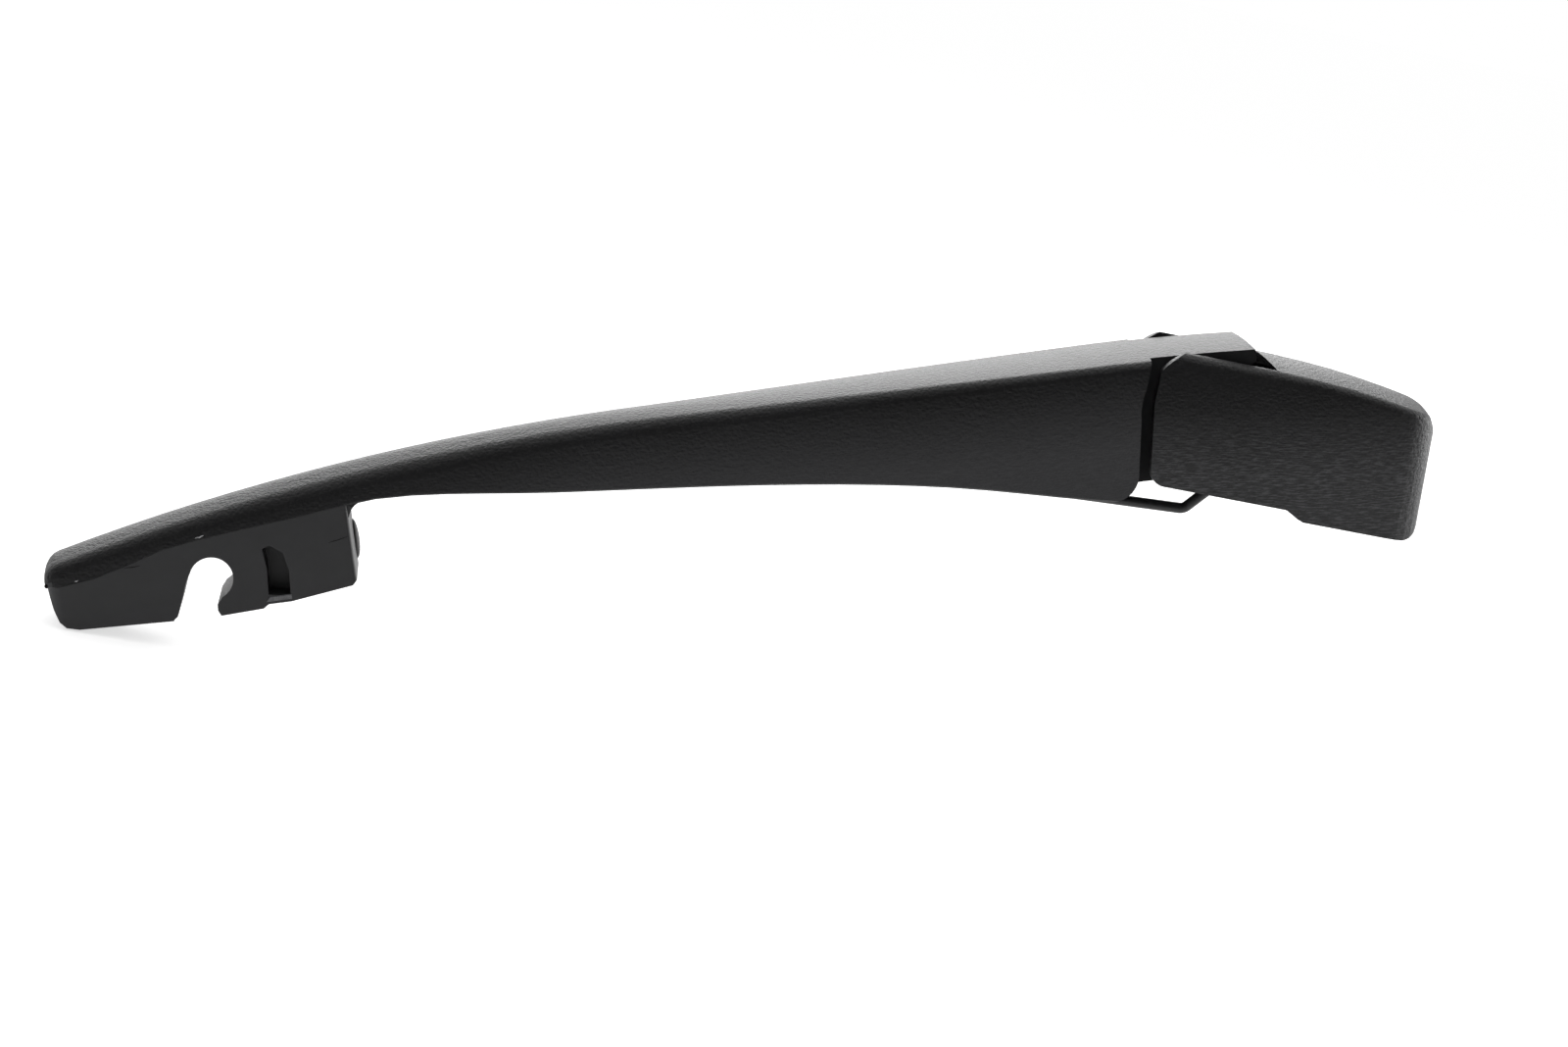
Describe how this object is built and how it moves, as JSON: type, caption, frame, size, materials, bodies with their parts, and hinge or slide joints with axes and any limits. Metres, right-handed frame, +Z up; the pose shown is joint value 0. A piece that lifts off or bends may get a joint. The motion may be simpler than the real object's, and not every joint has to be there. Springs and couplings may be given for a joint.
{
  "type": "rear window wiper arm",
  "caption": "Rear wiper arm: a bowed channel arm with a snap-in blade mount, hinged on a cast head under a hood that flips up, pulled down by a hidden spring.",
  "frame": {"origin": "on the spindle axis, in the middle of the straight bore, 12.5 mm above the base of the head", "axes": "+Z up the spindle axis away from the car, -X towards the arm's tip when it hangs on its stop, Y along the hinge pin"},
  "size_m": [0.2885, 0.03, 0.1078],
  "materials": {
    "arm_plastic": "matt, fine grain",
    "hood_plastic": "matt, fine grain",
    "pin_steel": "zinc plated",
    "spring_steel": "drawn wire",
    "link_steel": "black coated wire",
    "head_zinc": "black coated casting"
  },
  "bodies": {
    "head": {"mounting_head": "head_zinc", "hinge_pin": "pin_steel", "anchor_pin": "pin_steel"},
    "arm": {"arm_body": "arm_plastic", "spring_pin": "pin_steel", "tension_spring": "spring_steel"},
    "hood": {"head_cap": "hood_plastic"},
    "link": {"spring_link": "link_steel"}
  },
  "joints": [
    {"name": "arm_lift", "type": "hinge", "parent": "head", "child": "arm", "pos_m": [-0.0355, 0, 0.007], "axis": [0, 1, 0], "range_deg": [0, 52], "stiffness_Nm_per_rad": 0.35, "springref_deg": -143.24, "deforming": ["tension_spring"]},
    {"name": "cap_flip", "type": "hinge", "parent": "head", "child": "hood", "pos_m": [-0.0355, 0, 0.007], "axis": [0, -1, 0], "range_deg": [0, 50]},
    {"name": "link_swing", "type": "hinge", "parent": "head", "child": "link", "pos_m": [-0.0281, 0, -0.0078], "axis": [0, 1, 0], "range_deg": [0, 49]}
  ],
  "couplings": [
    {"joint": "link_swing", "follows": "arm_lift", "ratio": 0.9248}
  ]
}
